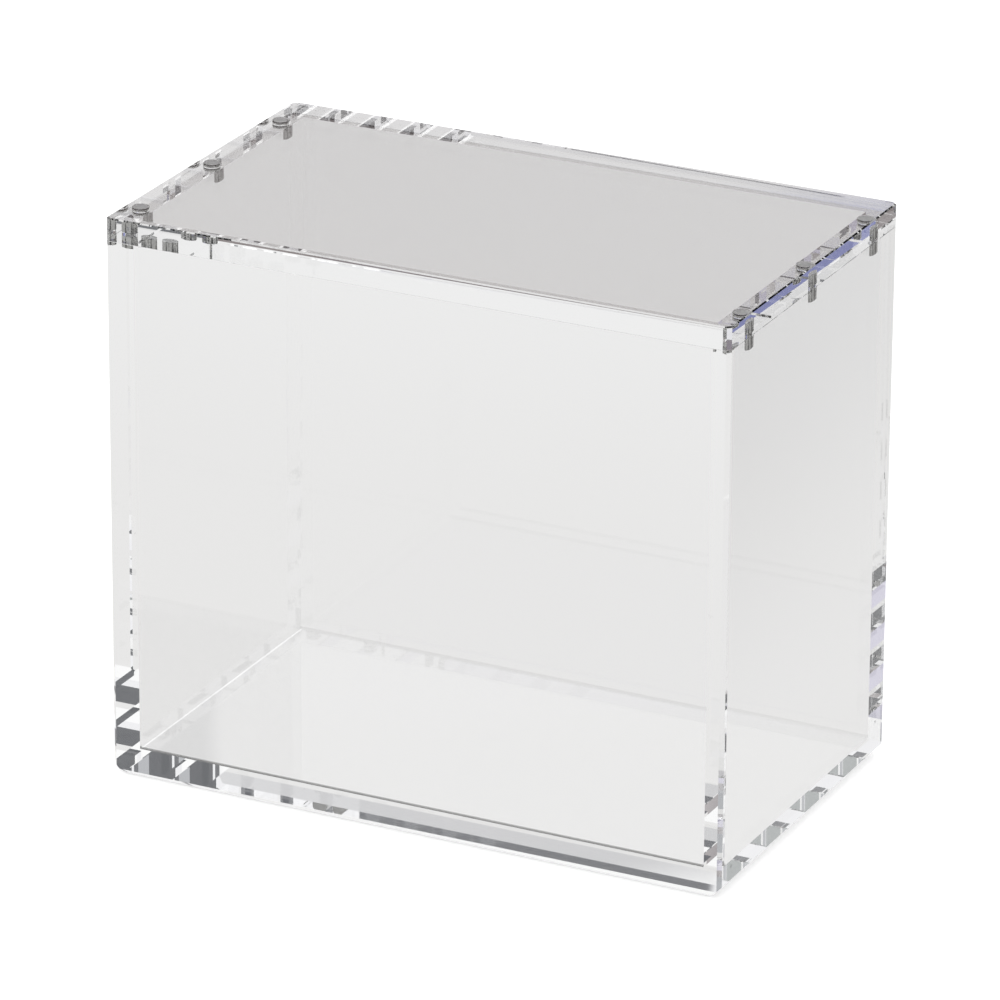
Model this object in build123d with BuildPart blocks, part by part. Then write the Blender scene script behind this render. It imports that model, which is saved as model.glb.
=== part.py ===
from build123d import *
import os

# A clear acrylic storage box. Four walls stand on a base plate, bonded at butt joints, and
# a flat lid plate rests on their tops. Small magnets let into the two short walls and into
# the lid hold it down, and it lifts straight off.
# Millimetres. X runs left to right, Y from front to back and Z up. The origin is the middle
# of the underside.

os.makedirs("parts", exist_ok=True)

# Inside of the closed box
inside_width = 143.5
inside_depth = 80.0
inside_height = 125.0

# Acrylic sheet that the panels are cut from
wall_sheet = 5.5
base_sheet = 5.5
lid_sheet = 5.5

# Bevels polished on the edges
corner_bevel = 0.9
seam_bevel = 0.2

# Magnets, in a row along each short wall and a matching row in the lid
magnet_diameter = 4.0
magnet_height = 3.0
magnet_edge_bevel = 0.2
magnet_side_clearance = 0.1
magnet_recess = 0.3
magnet_end_distance = 11.7
row_stations = ("front", "middle", "back")

# Outside sizes, and the level at which the lid meets the walls
outer_width = inside_width + 2 * wall_sheet
outer_depth = inside_depth + 2 * wall_sheet
seam_level = base_sheet + inside_height

# Places of the walls' middle planes, and of the magnets in the short ones
long_wall_y = (outer_depth - wall_sheet) / 2
short_wall_x = (outer_width - wall_sheet) / 2
row_spacing = (outer_depth - 2 * magnet_end_distance) / (len(row_stations) - 1)
first_station_y = magnet_end_distance - outer_depth / 2

# Bores for the magnets
bore_radius = magnet_diameter / 2 + magnet_side_clearance
bore_depth = magnet_height + magnet_recess

# The direction of each side from the middle of the box
short_sides = {"left": -1, "right": 1}
long_sides = {"front": -1, "back": 1}


def write(piece, name):
    """Label a finished piece and export it under its own name."""
    piece.part.label = name
    export_step(piece.part, f"parts/{name}.step")


def base_plate():
    """Full outline of the box, with every edge that shows bevelled."""
    with BuildPart() as base:
        with BuildSketch():
            Rectangle(outer_width, outer_depth)
        extrude(amount=base_sheet)
        chamfer(base.edges().filter_by(Axis.Z), corner_bevel)
        chamfer(base.faces().sort_by(Axis.Z)[0].edges(), corner_bevel)
    return base


def long_wall(facing):
    """Front or back wall, the full width of the box, so that it hides the short walls' ends."""
    outward = Axis((0, 0, 0), (0, facing, 0))
    with BuildPart() as wall:
        with BuildSketch(Plane.XY.offset(base_sheet)):
            with Locations((0, facing * long_wall_y)):
                Rectangle(outer_width, wall_sheet)
        extrude(amount=inside_height)
        outside = wall.faces().sort_by(outward)[-1]
        chamfer(outside.edges().filter_by(Axis.Z), corner_bevel)
        # The rim is bevelled outside, and left square where the inside edge meets the bonds.
        rim = wall.faces().sort_by(Axis.Z)[-1]
        chamfer(rim.edges().sort_by(outward)[1:], seam_bevel)
    return wall


def short_wall(facing):
    """Left or right wall, between the long ones, with a row of magnet bores in its rim."""
    outward = Axis((0, 0, 0), (facing, 0, 0))
    with BuildPart() as wall:
        with BuildSketch(Plane.XY.offset(base_sheet)):
            with Locations((facing * short_wall_x, 0)):
                Rectangle(wall_sheet, inside_depth)
        extrude(amount=inside_height)
        rim = wall.faces().sort_by(Axis.Z)[-1]
        chamfer(rim.edges().sort_by(outward)[-1], seam_bevel)
        with Locations((facing * short_wall_x, 0, seam_level)):
            with GridLocations(0, row_spacing, 1, len(row_stations)):
                Hole(bore_radius, depth=bore_depth)
    return wall


def lid_plate():
    """Flat plate, flush with the walls, with a blind bore over each magnet in them."""
    with BuildPart() as lid:
        with BuildSketch(Plane.XY.offset(seam_level)):
            Rectangle(outer_width, outer_depth)
        extrude(amount=lid_sheet)
        chamfer(lid.edges().filter_by(Axis.Z), corner_bevel)
        chamfer(lid.faces().sort_by(Axis.Z)[-1].edges(), corner_bevel)
        chamfer(lid.faces().sort_by(Axis.Z)[0].edges(), seam_bevel)
        with Locations(Plane(origin=(0, 0, seam_level), z_dir=(0, 0, -1))):
            with GridLocations(2 * short_wall_x, row_spacing, len(short_sides), len(row_stations)):
                Hole(bore_radius, depth=bore_depth)
    return lid


def magnet(x, y, underside):
    """Round magnet, standing on its underside, with its two rims bevelled."""
    with BuildPart() as disc:
        with BuildSketch(Plane((x, y, underside))):
            Circle(magnet_diameter / 2)
        extrude(amount=magnet_height)
        chamfer(disc.edges().filter_by(GeomType.CIRCLE), magnet_edge_bevel)
    return disc


# Case: the base and the four walls

write(base_plate(), "base_panel")
for name, facing in long_sides.items():
    write(long_wall(facing), f"{name}_panel")
for name, facing in short_sides.items():
    write(short_wall(facing), f"{name}_panel")

# Lid

write(lid_plate(), "lid_panel")

# Magnets: each touches the closed end of its bore, and is sunk a little from the seam

for side, facing in short_sides.items():
    for number, station in enumerate(row_stations):
        x = facing * short_wall_x
        y = first_station_y + number * row_spacing
        write(magnet(x, y, seam_level + magnet_recess), f"lid_magnet_{side}_{station}")
        write(magnet(x, y, seam_level - bore_depth), f"wall_magnet_{side}_{station}")
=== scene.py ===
# %% [markdown]
# A clear acrylic storage box
#
# Four walls stand on a base plate and a flat lid rests on their rims. Everything that shows is
# clear, so the look comes from three things: where light enters and leaves the edges, what stands
# around the box, and the small metal magnets that hold the lid. The CAD model gives the sizes and
# the places of all the parts, and this first cell loads it as the frame for the rest.

import math

import bmesh
import bpy
from mathutils import Matrix, Vector


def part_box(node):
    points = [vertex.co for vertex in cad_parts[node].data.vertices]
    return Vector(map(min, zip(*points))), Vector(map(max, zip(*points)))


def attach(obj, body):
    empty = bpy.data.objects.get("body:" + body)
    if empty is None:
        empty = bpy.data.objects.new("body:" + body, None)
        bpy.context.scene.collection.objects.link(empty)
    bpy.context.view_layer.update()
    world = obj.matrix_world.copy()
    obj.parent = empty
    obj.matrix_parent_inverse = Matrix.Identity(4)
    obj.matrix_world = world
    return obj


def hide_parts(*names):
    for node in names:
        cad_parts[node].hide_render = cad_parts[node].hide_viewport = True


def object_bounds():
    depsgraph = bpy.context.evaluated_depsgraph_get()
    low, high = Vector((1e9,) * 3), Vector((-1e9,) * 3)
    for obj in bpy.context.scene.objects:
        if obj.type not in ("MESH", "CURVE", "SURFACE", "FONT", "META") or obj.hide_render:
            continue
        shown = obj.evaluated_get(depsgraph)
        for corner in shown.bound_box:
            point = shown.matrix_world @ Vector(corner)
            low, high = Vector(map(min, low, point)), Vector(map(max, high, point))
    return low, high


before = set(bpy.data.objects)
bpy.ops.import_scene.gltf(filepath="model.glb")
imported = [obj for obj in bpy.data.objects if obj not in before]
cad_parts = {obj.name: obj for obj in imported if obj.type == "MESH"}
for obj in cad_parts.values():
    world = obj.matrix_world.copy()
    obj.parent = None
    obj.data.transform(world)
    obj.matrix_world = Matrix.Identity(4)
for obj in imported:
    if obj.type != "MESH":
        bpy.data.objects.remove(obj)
cad_low, cad_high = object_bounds()
print("outside of the box, in metres:", [round(value, 4) for value in cad_high - cad_low])

# %% [markdown]
# Sizes
#
# The panels' own boxes say how thick the sheet is and where the walls stop, so no size is typed
# twice. Only what a box can't say, such as how wide a bevel is, gets a value of its own here.

# %% Read the sizes of the panels
MILLIMETRE = 0.001

base_low, base_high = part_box("base_panel")
wall_low, wall_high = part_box("left_panel")
lid_low, lid_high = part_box("lid_panel")

sheet = base_high.z - base_low.z
seam_level = wall_high.z
half_width = base_high.x
half_depth = base_high.y
inside_half_width = half_width - (wall_high.x - wall_low.x)
inside_half_depth = wall_high.y

magnet_low, magnet_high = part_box("wall_magnet_right_back")
magnet_radius = (magnet_high.x - magnet_low.x) / 2
magnet_height = magnet_high.z - magnet_low.z
magnet_x = (magnet_high.x + magnet_low.x) / 2
magnet_y = (magnet_high.y + magnet_low.y) / 2
magnet_depth = seam_level - (magnet_high.z + magnet_low.z) / 2
wall_magnet_level = magnet_low.z
lid_magnet_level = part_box("lid_magnet_right_back")[0].z

corner_bevel = 0.9 * MILLIMETRE
lid_bevel = 0.3 * MILLIMETRE
seam_bevel = 0.05 * MILLIMETRE
seam_gap = 0.03 * MILLIMETRE

print("sheet thickness in millimetres:", round(sheet / MILLIMETRE, 2))
print("seam level in millimetres:", round(seam_level / MILLIMETRE, 2))
magnet_size = [round(value / MILLIMETRE, 2) for value in (2 * magnet_radius, magnet_height)]
print("magnets, across and high, in millimetres:", magnet_size)

# %% [markdown]
# Helpers for the shader nodes
#
# A material is a small graph of nodes. Wiring it by hand hides the sums in it, so one class wraps a
# number socket and lets ordinary arithmetic add the Math nodes. One method adds any other node:
# its settings come first, and then the values or links of its sockets.

# %% Wrap sockets and add nodes


class Amount:
    """A number that a node gives out. Sums on it add Math nodes to the same graph."""

    def __init__(self, bench, socket):
        self.bench = bench
        self.socket = socket

    def _sum(self, operation, first, second=0.0):
        node = self.bench.add("ShaderNodeMath", {"operation": operation}, {0: first, 1: second})
        return Amount(self.bench, node.outputs[0])

    def __add__(self, other):
        return self._sum("ADD", self, other)

    def __radd__(self, other):
        return self._sum("ADD", other, self)

    def __sub__(self, other):
        return self._sum("SUBTRACT", self, other)

    def __rsub__(self, other):
        return self._sum("SUBTRACT", other, self)

    def __mul__(self, other):
        return self._sum("MULTIPLY", self, other)

    def __rmul__(self, other):
        return self._sum("MULTIPLY", other, self)

    def __truediv__(self, other):
        return self._sum("DIVIDE", self, other)

    def __rtruediv__(self, other):
        return self._sum("DIVIDE", other, self)

    def size(self):
        """The number without its sign."""
        return self._sum("ABSOLUTE", self)

    def larger(self, other):
        """The larger of two numbers."""
        return self._sum("MAXIMUM", self, other)

    def cosine(self):
        """The cosine of an angle in radians."""
        return self._sum("COSINE", self)

    def sine(self):
        """The sine of an angle in radians."""
        return self._sum("SINE", self)

    def ramp(self, start, stop):
        """Rises smoothly from 0 at start to 1 at stop."""
        node = self.bench.add(
            "ShaderNodeMapRange",
            {"interpolation_type": "SMOOTHSTEP"},
            {"Value": self, "From Min": start, "From Max": stop},
        )
        return Amount(self.bench, node.outputs["Result"])


class Bench:
    """Where the nodes of one material or world are laid out."""

    def __init__(self, tree):
        self.tree = tree
        tree.nodes.clear()

    def add(self, kind, settings=None, sockets=None):
        """Add a node, set it up, and give its sockets their values or links."""
        node = self.tree.nodes.new(kind)
        for name, value in (settings or {}).items():
            setattr(node, name, value)
        for key, value in (sockets or {}).items():
            if isinstance(value, Amount):
                value = value.socket
            if isinstance(value, bpy.types.NodeSocket):
                self.tree.links.new(value, node.inputs[key])
            else:
                node.inputs[key].default_value = value
        return node

    def tint(self, share, first, second):
        """A colour between two others."""
        node = self.add(
            "ShaderNodeMix",
            {"data_type": "RGBA"},
            {"Factor": share, "A": first, "B": second},
        )
        return node.outputs["Result"]

    def place(self):
        """Where a point of the piece lies, in metres."""
        return self.add("ShaderNodeTexCoord").outputs["Object"]

    def split(self, vector):
        """The three parts of a vector as amounts."""
        node = self.add("ShaderNodeSeparateXYZ", {}, {"Vector": vector})
        return [Amount(self, socket) for socket in node.outputs]

    def mottle(self, place, patches_per_metre):
        """Soft random patches between 0 and 1."""
        node = self.add(
            "ShaderNodeTexNoise",
            {},
            {"Vector": place, "Scale": patches_per_metre, "Detail": 2.0, "Roughness": 0.5},
        )
        return Amount(self, node.outputs["Fac"])

    def rays(self):
        """Whether light goes straight to the camera, and whether it went by glass or metal."""
        ray = self.add("ShaderNodeLightPath").outputs
        by_gloss = Amount(self, ray["Is Glossy Ray"])
        return ray["Is Camera Ray"], by_gloss.larger(Amount(self, ray["Is Transmission Ray"]))


def new_material(name):
    """A material with an empty bench."""
    material = bpy.data.materials.new(name)
    material.use_nodes = True
    return material, Bench(material.node_tree)


def finish_surface(bench, shader):
    """Send a shader to the material's output."""
    bench.add("ShaderNodeOutputMaterial", {}, {"Surface": shader})


print("helpers are ready")

# %% [markdown]
# Clear cast acrylic
#
# Cast acrylic is as clear as glass, and its index of refraction is 1.49 in the books. The bands in
# the photo's edges sit where a higher index, 1.585, puts them, and this scene follows the photo: with
# the book value a dark line would run along the front of the seam, where the photo shows none. The
# faces and the cut edges are polished, so the whole box is smooth. What makes it real is faint: a
# breath of haze where it has been wiped and a trace of cool colour. Along the cemented joints of the
# base and the walls, painted shade makes a thin dark line at the front of the floor and a softer one
# at its back. It is colour alone, painted where the level and the depth say so.

# %% Make the acrylic
clear_pale = (1.0, 1.0, 1.0, 1.0)
clear_cool = (0.99, 0.992, 0.992, 1.0)
# The dark colour below is painted shade for the floor's inner edges.
painted_edge_shade = (0.20, 0.20, 0.20, 1.0)
wiped_haze = 0.005
smears_per_metre = 35.0
smear_limits = (0.45, 0.75)
depths_per_metre = 9.0
acrylic_index = 1.585
edge_shade_height = 0.7 * MILLIMETRE
edge_shade_width = 0.65 * MILLIMETRE
edge_shade_fade = 0.15 * MILLIMETRE
edge_shade_root = 0.1 * MILLIMETRE
back_shade_share = 0.25

acrylic, bench = new_material("clear_acrylic")
place = bench.place()
smears = bench.mottle(place, smears_per_metre).ramp(*smear_limits)
depths = bench.mottle(place, depths_per_metre)
_, along, level = bench.split(place)
# The masks below paint shade along the floor's inner front and back edges.
near_floor = 1.0 - level.ramp(sheet + edge_shade_height - edge_shade_fade, sheet + edge_shade_height)
on_floor = level.ramp(sheet - edge_shade_root, sheet - edge_shade_root / 2)
past_bond = along.size() - inside_half_depth
inside_box = 1.0 - past_bond.ramp(edge_shade_root, 2 * edge_shade_root)
edge_shade_start = inside_half_depth - edge_shade_width
front_edge_shade = (-1.0 * along).ramp(edge_shade_start, edge_shade_start + edge_shade_fade)
back_edge_shade = along.ramp(edge_shade_start, edge_shade_start + edge_shade_fade)
edge_shade = (front_edge_shade + back_edge_shade * back_shade_share) * near_floor * on_floor * inside_box
clear = bench.tint(depths, clear_pale, clear_cool)
acrylic_shader = bench.add(
    "ShaderNodeBsdfPrincipled",
    {},
    {
        "Base Color": bench.tint(edge_shade, clear, painted_edge_shade),
        "Roughness": smears * wiped_haze,
        "IOR": acrylic_index,
        "Transmission Weight": 1.0,
    },
)
finish_surface(bench, acrylic_shader.outputs["BSDF"])
print("acrylic nodes:", len(bench.tree.nodes))

# %% [markdown]
# Nickel plating
#
# The magnets are pressed, sintered and plated with nickel. Their round sides are smooth and mirror
# what is near them, and their colour is painted darker than nickel as painted shade. The flat ends
# have rubbed on one another in their packing, so they are matt, and they are painted pale and less
# metallic as a painted highlight of the light from above. The ends are found from the height: every
# disc has its middle equally far from the seam. A fine mottle keeps the gloss from being even.

# %% Make the nickel plating
# The side colour is painted dark as shade, and the end colour is painted pale as a highlight of the
# light from above.
nickel_side_painted_dark = (0.36, 0.36, 0.35, 1.0)
nickel_end_painted_pale = (0.97, 0.97, 0.96, 1.0)
side_gloss = 0.03
end_gloss = 0.6
end_dullness = 0.7
rubs_per_metre = 350.0
rub_limits = (0.35, 0.7)
rub_gloss = 0.04
end_begins = 0.06 * MILLIMETRE
end_is_full = 0.01 * MILLIMETRE

nickel, bench = new_material("nickel_plating")
place = bench.place()
rubbed = bench.mottle(place, rubs_per_metre).ramp(*rub_limits)
_, _, level = bench.split(place)
from_seam = (level - seam_level).size()
from_middle = (from_seam - magnet_depth).size()
is_end = from_middle.ramp(magnet_height / 2 - end_begins, magnet_height / 2 - end_is_full)
nickel_shader = bench.add(
    "ShaderNodeBsdfPrincipled",
    {},
    {
        # Painted shade on the round sides, painted highlight on the flat ends.
        "Base Color": bench.tint(is_end, nickel_side_painted_dark, nickel_end_painted_pale),
        "Metallic": 1.0 - end_dullness * is_end,
        "Roughness": is_end * (end_gloss - side_gloss) + side_gloss + rubbed * rub_gloss,
    },
)
finish_surface(bench, nickel_shader.outputs["BSDF"])
print("nickel nodes:", len(bench.tree.nodes))

# %% [markdown]
# The bonded case
#
# The base and the four walls are joined with a solvent cement that melts the faces together. Light
# crosses such a joint as if it weren't there, so the case acts as one block of acrylic with a
# cavity in it. If each panel kept its own skin, every joint would mirror light that the real one
# lets through. One closed mesh therefore stands for all five panels: a bevelled block, with the
# cavity and the six bores cut out of it.

# %% Make a bevelled block


def in_scene(name, data):
    """New object in the scene, made from its data."""
    thing = bpy.data.objects.new(name, data)
    bpy.context.scene.collection.objects.link(thing)
    return thing


def closed_piece(name, shape):
    """Object made from a closed bmesh, which is freed. Its faces are turned outwards."""
    bmesh.ops.recalc_face_normals(shape, faces=shape.faces)
    mesh = bpy.data.meshes.new(name)
    shape.to_mesh(mesh)
    shape.free()
    return in_scene(name, mesh)


def bevelled_block(name, low, high, corner, bottom, top):
    """Closed block with flat bevels on its upright corners and round its bottom and top edges."""
    levels = [(low.z, bottom), (low.z + bottom, 0.0), (high.z - top, 0.0), (high.z, top)]
    if not bottom:
        levels.pop(0)
    if not top:
        levels.pop()
    shape = bmesh.new()
    rings = []
    for level, inset in levels:
        left = low.x + inset
        right = high.x - inset
        front = low.y + inset
        back = high.y - inset
        outline = [
            (left + corner, front),
            (right - corner, front),
            (right, front + corner),
            (right, back - corner),
            (right - corner, back),
            (left + corner, back),
            (left, back - corner),
            (left, front + corner),
        ]
        if not corner:
            outline = [(left, front), (right, front), (right, back), (left, back)]
        rings.append([shape.verts.new((x, y, level)) for x, y in outline])
    shape.faces.new(list(reversed(rings[0])))
    shape.faces.new(rings[-1])
    for lower, upper in zip(rings, rings[1:]):
        for corner_number in range(len(lower)):
            following = (corner_number + 1) % len(lower)
            shape.faces.new(
                (lower[corner_number], lower[following], upper[following], upper[corner_number])
            )
    return closed_piece(name, shape)


case = bevelled_block(
    "bonded_case",
    base_low,
    Vector((half_width, half_depth, seam_level - seam_gap)),
    corner_bevel,
    corner_bevel,
    seam_bevel,
)
print("faces of the plain block:", len(case.data.polygons))

# %% [markdown]
# Cutting
#
# The wide bevels, the cavity and the bores are all cut in the same way. A tool is made as a block of
# its own, an exact Boolean takes it away from the case or the lid, and then it is thrown away.

# %% Cut a tool out of a block


def settle(thing):
    """Turn what an object's modifiers make into its plain mesh."""
    bpy.context.view_layer.update()
    evaluated = thing.evaluated_get(bpy.context.evaluated_depsgraph_get())
    mesh = bpy.data.meshes.new_from_object(evaluated)
    thing.modifiers.clear()
    thing.data = mesh


def cut_away(block, tool):
    """Subtract a tool from a block, then delete the tool."""
    modifier = block.modifiers.new("cut", "BOOLEAN")
    modifier.operation = "DIFFERENCE"
    modifier.solver = "EXACT"
    modifier.object = tool
    settle(block)
    bpy.data.objects.remove(tool)


# %% [markdown]
# Wide bevels underneath
#
# The lower edges of the photo's box show bands of dark and pale. A narrow bevel can't make them: they
# come from wide polished bevels under the back and the two short walls, which turn light upwards
# inside the sheet. Each is cut with a three-sided prism that is longer than the edge. The front
# edge keeps its narrow bevel, as the photo shows there.

# %% Bevel the lower edges
wide_bevel = 2.5 * MILLIMETRE
prism_spare = MILLIMETRE
prism_half_length = half_width + 10 * MILLIMETRE


def prism_tool(along_x, side):
    """Prism that cuts a wide bevel along one bottom edge."""
    reach = half_depth if along_x else half_width
    profile = [
        (side * (reach - wide_bevel - prism_spare), -prism_spare),
        (side * (reach + prism_spare), wide_bevel + prism_spare),
        (side * (reach + prism_spare), -prism_spare),
    ]
    shape = bmesh.new()
    ends = []
    for far in (-prism_half_length, prism_half_length):
        if along_x:
            ends.append([shape.verts.new((far, out, up)) for out, up in profile])
        else:
            ends.append([shape.verts.new((out, far, up)) for out, up in profile])
    shape.faces.new(ends[0])
    shape.faces.new(list(reversed(ends[1])))
    for number in range(len(profile)):
        other = (number + 1) % len(profile)
        shape.faces.new((ends[0][number], ends[1][number], ends[1][other], ends[0][other]))
    return closed_piece("prism_tool", shape)


for along_x, side in ((True, 1), (False, -1), (False, 1)):
    cut_away(case, prism_tool(along_x, side))
print("faces with the wide bevels:", len(case.data.polygons))

# %% [markdown]
# Cavity and bores
#
# The cavity is a plain block that sticks out above the rim, and each bore is a round tool that does
# the same. The bores line up with the magnets, whose places come from the CAD model. In the real box
# clear glue fills the room round each magnet, so no layer of air shows there. A bore that is a hair
# narrower than its magnet gives the same look: inside the acrylic, light meets the metal directly.

# %% Cut the cavity and the bores
glue_overlap = 0.03 * MILLIMETRE
cut_overlap = 5 * MILLIMETRE
bore_sides = 48
rows = (-magnet_x, magnet_x)
stations = (-magnet_y, 0.0, magnet_y)


def bore_tool(x, y, bottom, top):
    """Round cutter for one bore."""
    shape = bmesh.new()
    bmesh.ops.create_cone(
        shape,
        cap_ends=True,
        segments=bore_sides,
        radius1=magnet_radius - glue_overlap,
        radius2=magnet_radius - glue_overlap,
        depth=top - bottom,
        matrix=Matrix.Translation((x, y, (top + bottom) / 2)),
    )
    return closed_piece("bore_tool", shape)


def coat(piece, material):
    """Name a finished piece's mesh after it and give it its one material."""
    piece.data.name = piece.name
    piece.data.materials.clear()
    piece.data.materials.append(material)


cavity = bevelled_block(
    "cavity",
    Vector((-inside_half_width, -inside_half_depth, sheet)),
    Vector((inside_half_width, inside_half_depth, seam_level + cut_overlap)),
    0.0,
    0.0,
    0.0,
)
cut_away(case, cavity)
for x in rows:
    for y in stations:
        bore_end = wall_magnet_level + glue_overlap
        cut_away(case, bore_tool(x, y, bore_end, seam_level + cut_overlap))
coat(case, acrylic)
print("faces of the bonded case:", len(case.data.polygons))

# %% [markdown]
# Magnets
#
# Twelve equal discs sit in the bores, six in the walls and six in the lid. Geometry Nodes suit them:
# one tree makes a disc and sets it on a grid of points, and the same tree serves both bodies with
# another level. The disc is a circle swept up a short upright line. Near both ends the circle
# shrinks along a quarter of an arc, which gives the rims the soft edge that plating leaves.

# %% Build the tree for a set of magnets
rim_steps = 4
rim_radius = 0.25 * MILLIMETRE
disc_sides = 48

tree = bpy.data.node_groups.new("magnet_set", "GeometryNodeTree")
tree.interface.new_socket("Geometry", in_out="OUTPUT", socket_type="NodeSocketGeometry")
for socket_name in ("Radius", "Height", "Rim", "Row spread", "Station spread", "Level"):
    tree.interface.new_socket(socket_name, in_out="INPUT", socket_type="NodeSocketFloat")
tree.interface.new_socket("Finish", in_out="INPUT", socket_type="NodeSocketMaterial")

bench = Bench(tree)
given = bench.add("NodeGroupInput").outputs
radius = Amount(bench, given["Radius"])
height = Amount(bench, given["Height"])
rim = Amount(bench, given["Rim"])

ring_number = Amount(bench, bench.add("GeometryNodeInputIndex").outputs["Index"])
ring_count = 2 * (rim_steps + 1)
from_middle = ring_number - (ring_count - 1) / 2
above = from_middle.ramp(-0.1, 0.1)
step = (ring_count - 1) / 2 - from_middle.size()
angle = step * (math.pi / 2 / rim_steps)
from_end = rim * (1.0 - angle.cosine())
ring_level = from_end + above * (height - 2.0 * from_end)
ring_radius = radius - rim * (1.0 - angle.sine())

line = bench.add("GeometryNodeCurvePrimitiveLine", {}, {"End": (0.0, 0.0, MILLIMETRE)})
rings = bench.add("GeometryNodeResampleCurve", {}, {"Curve": line.outputs[0], "Count": ring_count})
ring_place = bench.add("ShaderNodeCombineXYZ", {}, {"Z": ring_level})
placed = bench.add(
    "GeometryNodeSetPosition", {}, {"Geometry": rings.outputs[0], "Position": ring_place.outputs[0]}
)
circle = bench.add(
    "GeometryNodeCurvePrimitiveCircle", {}, {"Resolution": disc_sides, "Radius": 1.0}
)
disc = bench.add(
    "GeometryNodeCurveToMesh",
    {},
    {
        "Curve": placed.outputs[0],
        "Profile Curve": circle.outputs["Curve"],
        "Scale": ring_radius,
        "Fill Caps": True,
    },
)
points = bench.add(
    "GeometryNodeMeshGrid",
    {},
    {
        "Size X": given["Row spread"],
        "Size Y": given["Station spread"],
        "Vertices X": len(rows),
        "Vertices Y": len(stations),
    },
)
discs = bench.add(
    "GeometryNodeInstanceOnPoints",
    {},
    {"Points": points.outputs["Mesh"], "Instance": disc.outputs["Mesh"]},
)
lift = bench.add("ShaderNodeCombineXYZ", {}, {"Z": given["Level"]})
raised = bench.add(
    "GeometryNodeTransform", {}, {"Geometry": discs.outputs[0], "Translation": lift.outputs[0]}
)
real = bench.add("GeometryNodeRealizeInstances", {}, {"Geometry": raised.outputs[0]})
dressed = bench.add(
    "GeometryNodeSetMaterial", {}, {"Geometry": real.outputs[0], "Material": given["Finish"]}
)
bench.add("NodeGroupOutput", {}, {"Geometry": dressed.outputs[0]})
print("nodes in the magnet tree:", len(tree.nodes))

# %% [markdown]
# Setting the magnets in both bodies
#
# The tree runs twice, once for the walls and once for the lid. Its result is turned into a plain mesh
# each time, because the magnets of one body travel together and nothing about them stays variable.
# The round sides are shaded smooth, and the flat ends, whose faces point up or down, stay flat.

# %% Run the tree for the walls and for the lid
flat_end_slope = 0.98


def magnet_set(name, level):
    """Six magnets that stand on one level, as a plain mesh."""
    holder = in_scene(name, bpy.data.meshes.new(name))
    modifier = holder.modifiers.new("magnets", "NODES")
    modifier.node_group = tree
    chosen = {
        "Radius": magnet_radius,
        "Height": magnet_height,
        "Rim": rim_radius,
        "Row spread": 2 * magnet_x,
        "Station spread": 2 * magnet_y,
        "Level": level,
        "Finish": nickel,
    }
    for item in tree.interface.items_tree:
        if item.in_out == "INPUT":
            modifier[item.identifier] = chosen[item.name]
    settle(holder)
    holder.data.name = name
    for face in holder.data.polygons:
        face.use_smooth = abs(face.normal.z) < flat_end_slope
    return holder


wall_magnets = magnet_set("wall_magnets", wall_magnet_level)
lid_magnets = magnet_set("lid_magnets", lid_magnet_level)
for piece in (wall_magnets, lid_magnets):
    shape = bmesh.new()
    shape.from_mesh(piece.data)
    print(piece.name, "volume in mm3:", round(shape.calc_volume(signed=True) / MILLIMETRE**3, 1))
    shape.free()

# %% [markdown]
# The lid
#
# The lid is one flat plate with bevelled edges and six blind bores in its underside. It is made like
# the case, so that its magnets too lie in clear glue.

# %% Make the lid
lid = bevelled_block("lid_plate", lid_low, lid_high, corner_bevel, seam_bevel, lid_bevel)
for x in rows:
    for y in stations:
        bore_end = lid_magnet_level + magnet_height - glue_overlap
        cut_away(lid, bore_tool(x, y, seam_level - cut_overlap, bore_end))
coat(lid, acrylic)
print("faces of the lid:", len(lid.data.polygons))

# %% [markdown]
# What moves with what
#
# The case stands still and the lid lifts off it with its own magnets. Each piece is put under its
# body, and the CAD parts that it stands for are hidden.

# %% Join every piece to its body
sides = ("left", "right")
places = ("front", "middle", "back")
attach(case, "case")
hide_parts("base_panel", "front_panel", "back_panel", "left_panel", "right_panel")
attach(lid, "lid")
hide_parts("lid_panel")
for piece, body in ((wall_magnets, "case"), (lid_magnets, "lid")):
    prefix = "wall" if body == "case" else "lid"
    names = [f"{prefix}_magnet_{side}_{station}" for side in sides for station in places]
    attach(piece, body)
    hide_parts(*names)
print("pieces joined:", [piece.name for piece in (case, lid, wall_magnets, lid_magnets)])

# %% [markdown]
# The camera
#
# The picture was taken from some distance with a long lens, a little to the right of the middle and
# looking down by about 22 degrees. The camera's place is given in box widths, so that it keeps
# its framing if the box is made larger.

# %% Place the camera
view_turn = math.radians(26.1475)
view_drop = math.radians(21.9425)
view_roll = math.radians(0.358)
lens_length = 260.72
sensor_width = 36.0
widths_right = 0.0008
widths_up = 0.393
widths_back = 10.8953
nearest_seen = 0.01

outer_width = cad_high.x - cad_low.x
towards_camera = Vector(
    (
        math.sin(view_turn) * math.cos(view_drop),
        -math.cos(view_turn) * math.cos(view_drop),
        math.sin(view_drop),
    )
)
level_right = (-towards_camera).cross(Vector((0, 0, 1))).normalized()
level_up = level_right.cross(-towards_camera)
camera_right = math.cos(view_roll) * level_right + math.sin(view_roll) * level_up
camera_up = -math.sin(view_roll) * level_right + math.cos(view_roll) * level_up
camera_place = camera_right * widths_right + camera_up * widths_up + towards_camera * widths_back

camera_data = bpy.data.cameras.new("camera")
camera_data.lens = lens_length
camera_data.sensor_width = sensor_width
camera_data.clip_start = nearest_seen
camera = in_scene("camera", camera_data)
camera_matrix = Matrix((camera_right, camera_up, towards_camera)).transposed().to_4x4()
camera_matrix.translation = camera_place * outer_width
camera.matrix_world = camera_matrix
bpy.context.scene.camera = camera
print("camera distance in metres:", round(widths_back * outer_width, 3))
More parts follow.
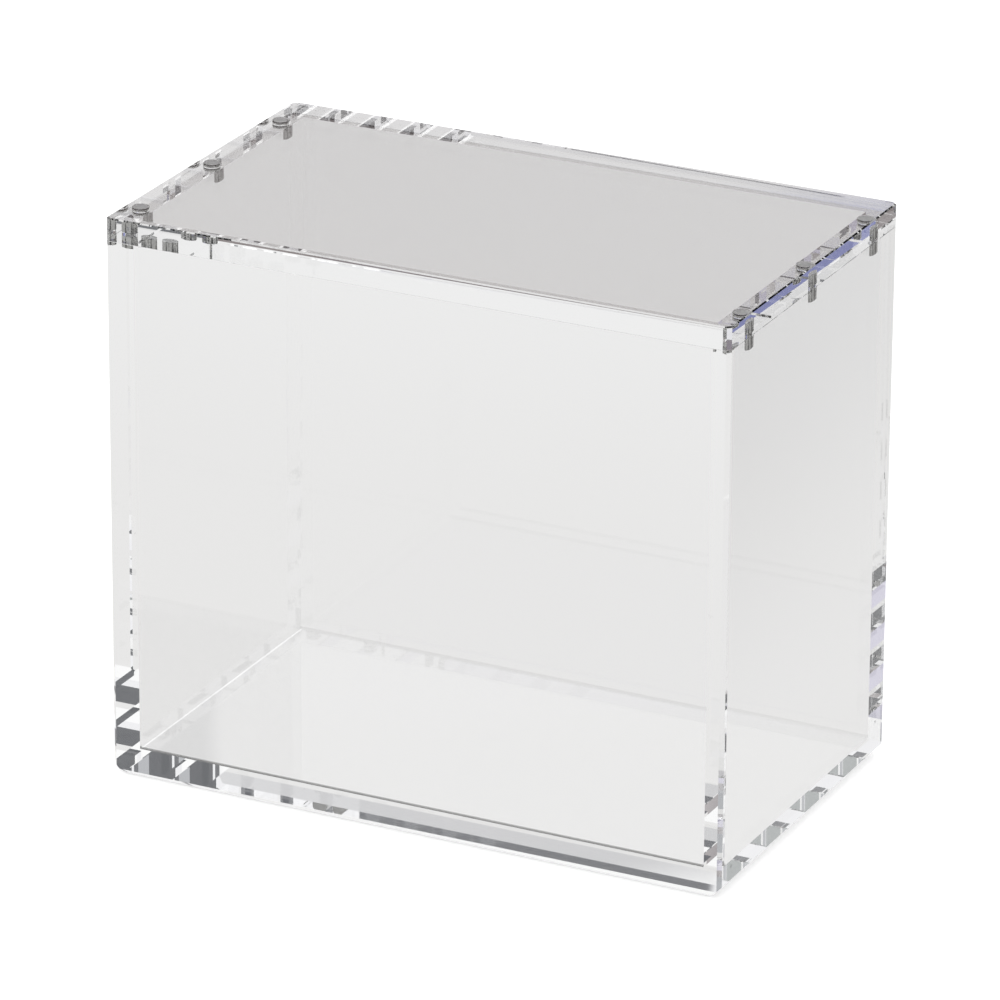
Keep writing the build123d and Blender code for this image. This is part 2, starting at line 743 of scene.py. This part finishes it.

# %% [markdown]
# The table
#
# The box stands on a plain white table. Seen directly the table is white, and the box's shadow shows
# on it. What the clear walls show of it is painted light and shade, a glow that only glass and metal
# see: a warm white near the box, paler further off, and painted shade grey behind it on the right,
# where a card would keep the light away. Two narrow lines are painted for the box itself. One is
# painted grey shade, where the box touches down. The other is a painted bright line of light under
# the left wall, where the sheet gathers light and sends it down.

# %% Make the floor
floor_half_size = 5.0
floor_drop = 0.3 * MILLIMETRE
# Apart from table_white and camera_lift, the values below paint light and shade on the table as glass
# and metal see it.
table_white = (0.9, 0.9, 0.9, 1.0)
table_near = (0.81, 0.805, 0.80, 1.0)
table_far = (0.86, 0.86, 0.86, 1.0)
table_right = (0.36, 0.35, 0.35, 1.0)
table_gathered = (1.5, 1.5, 1.5, 1.0)
gathered_width = 4 * MILLIMETRE
near_reach = 0.05
far_reach = 0.36
grey_to_the_right = (0.02, 0.15)
grey_to_the_back = (0.0, 0.05)
contact_shade = (0.70, 0.70, 0.71, 1.0)
contact_reach = 3 * MILLIMETRE
camera_lift = 0.5

shape = bmesh.new()
bmesh.ops.create_grid(shape, x_segments=1, y_segments=1, size=floor_half_size)
mesh = bpy.data.meshes.new("floor")
shape.to_mesh(mesh)
shape.free()
mesh.transform(Matrix.Translation((0, 0, -floor_drop)))
floor = in_scene("floor", mesh)

table, bench = new_material("white_table")
across, along, _ = bench.split(bench.place())
outside = (across.size() - half_width).larger(along.size() - half_depth)
pool = bench.tint(outside.ramp(near_reach, far_reach), table_near, table_far)
beyond_left = -1.0 * across - half_width
near_left_edge = (beyond_left + gathered_width).ramp(0.0, MILLIMETRE)
under_wall = near_left_edge - beyond_left.ramp(-MILLIMETRE, 0.0)
under_box = 1.0 - outside.ramp(-MILLIMETRE, 0.0)
with_glow = bench.tint(under_wall * under_box, pool, table_gathered)
off_contact = outside.ramp(0.0, contact_reach) + (-1.0 * outside).ramp(0.0, MILLIMETRE)
with_contact = bench.tint(off_contact, contact_shade, with_glow)
grey_zone = (across - half_width).ramp(*grey_to_the_right) * along.ramp(*grey_to_the_back)
with_grey = bench.tint(grey_zone, with_contact, table_right)

lit = bench.add("ShaderNodeBsdfDiffuse", {}, {"Color": table_white})
raised_white = bench.add("ShaderNodeEmission", {}, {"Strength": camera_lift})
seen = bench.add("ShaderNodeAddShader", {}, {0: lit.outputs[0], 1: raised_white.outputs[0]})
# What glass and metal see: an emission that carries the painted light and shade.
mirrored = bench.add("ShaderNodeEmission", {}, {"Color": with_grey})
to_camera, by_glass = bench.rays()
plain = bench.add(
    "ShaderNodeMixShader", {}, {0: to_camera, 1: lit.outputs[0], 2: seen.outputs[0]}
)
table_shader = bench.add(
    "ShaderNodeMixShader", {}, {0: by_glass, 1: plain.outputs[0], 2: mirrored.outputs[0]}
)
finish_surface(bench, table_shader.outputs[0])
floor.data.materials.append(table)
print("floor size in metres:", 2 * floor_half_size)

# %% [markdown]
# The light
#
# A studio lights clear acrylic with large soft panels and lets dark cards show in its edges, since
# clear plastic on white would vanish otherwise. The world plays that room. A flat polished edge turns
# light by a fixed amount, so each edge of the box sees one narrow part of the room, and the cards
# can be told apart by their side and their height. The lid mirrors a dull card low behind it on
# the left. The corners at the bottom left see a dark card behind on the right. The lid's right
# side sees a blue panel in front on the left, and the edges below it a grey one. The line along
# the bottom of the front sees a steep dark card. The rest is white or nearly so. Only glass and
# metal see the cards: for the camera and for plain surfaces, the room is an even white.
#
# A direction is three numbers: how far it points right, back and up, each at most 1. The limits
# below are in those numbers, so 0.33 up is about 19 degrees above the table. Each quarter of the
# room is a stack of cards that begins with the lowest.

# %% Make the room
card_white = (1.0, 1.0, 1.0, 1.0)
card_low = (0.22, 0.19, 0.19, 1.0)
card_dark = (0.11, 0.115, 0.125, 1.0)
card_far = (0.45, 0.46, 0.48, 1.0)
card_cool = (0.22, 0.24, 0.50, 1.0)
card_grey = (0.33, 0.355, 0.35, 1.0)
card_steep = (0.09, 0.095, 0.11, 1.0)
card_lavender = (0.62, 0.60, 0.72, 1.0)
card_strip = (0.66, 0.66, 0.67, 1.0)
card_front = (0.9, 0.9, 0.92, 1.0)
overhead_white = (0.85, 0.85, 0.86, 1.0)
room_even = (0.95, 0.95, 0.95, 1.0)
quarter_blur = 0.03
strip_ends = (0.543, 0.548)
steep_begins = (0.74, 0.78)
steep_beside = (0.372, 0.3735)
cards_begin = (0.24, 0.30)
back_left_begins = (0.14, 0.15)
overhead_begins = (0.86, 0.94)

world = bpy.data.worlds.new("studio")
bpy.context.scene.world = world
world.use_nodes = True
bench = Bench(world.node_tree)
rightward, backward, upward = bench.split(bench.add("ShaderNodeTexCoord").outputs["Generated"])


def stack(lowest, *cards):
    """Cards one above another. Each is given by where it begins, where it is full, and its colour."""
    colour = lowest
    for begins, full, card in cards:
        colour = bench.tint(upward.ramp(begins, full), colour, card)
    return colour


is_right = rightward.ramp(-quarter_blur, quarter_blur)
is_back = backward.ramp(-quarter_blur, quarter_blur)
far_left = (-1.0 * rightward / backward).ramp(*strip_ends)
behind_left = stack(
    bench.tint(far_left, card_strip, card_white),
    (0.185, 0.195, card_white),
    (0.315, 0.325, card_low),
    (0.365, 0.395, bench.tint(far_left, card_white, card_far)),
    (0.6, 0.68, card_steep),
)
behind_right = stack(card_white, (0.334, 0.338, card_dark), (0.6, 0.68, card_white))
before_left = stack(
    card_front,
    (0.332, 0.336, card_cool),
    (0.358, 0.366, card_lavender),
    (0.398, 0.405, card_grey),
    (0.47, 0.52, card_front),
)
steep_share = upward.ramp(*steep_begins) * (-1.0 * rightward).ramp(*steep_beside)
before_left = bench.tint(steep_share, before_left, card_steep)
behind = bench.tint(is_right, behind_left, behind_right)
before = bench.tint(is_right, before_left, card_front)
cards = bench.tint(is_back, before, behind)
back_left = is_back * (1.0 - is_right)
begun = upward.ramp(*cards_begin) * (1.0 - back_left) + upward.ramp(*back_left_begins) * back_left
standing_cards = bench.tint(begun, card_white, cards)
room = bench.tint(upward.ramp(*overhead_begins), standing_cards, overhead_white)
to_camera, by_glass = bench.rays()
plain_light = bench.tint(to_camera, room_even, card_white)
seen_room = bench.tint(by_glass, plain_light, room)
background = bench.add("ShaderNodeBackground", {}, {"Color": seen_room})
bench.add("ShaderNodeOutputWorld", {}, {"Surface": background.outputs[0]})
print("world nodes:", len(bench.tree.nodes))

# %% [markdown]
# Render settings
#
# Light that enters a clear plate at its edge bounces many times before it leaves, so the renderer has
# to follow it for longer than usual. The Standard view shows the colours as they are written.

# %% Set the bounces and the view
most_bounces = 40
diffuse_bounces = 3
scene = bpy.context.scene
scene.cycles.max_bounces = most_bounces
scene.cycles.transmission_bounces = most_bounces
scene.cycles.glossy_bounces = most_bounces
scene.cycles.diffuse_bounces = diffuse_bounces
scene.view_settings.view_transform = "Standard"
print("bounces:", most_bounces)
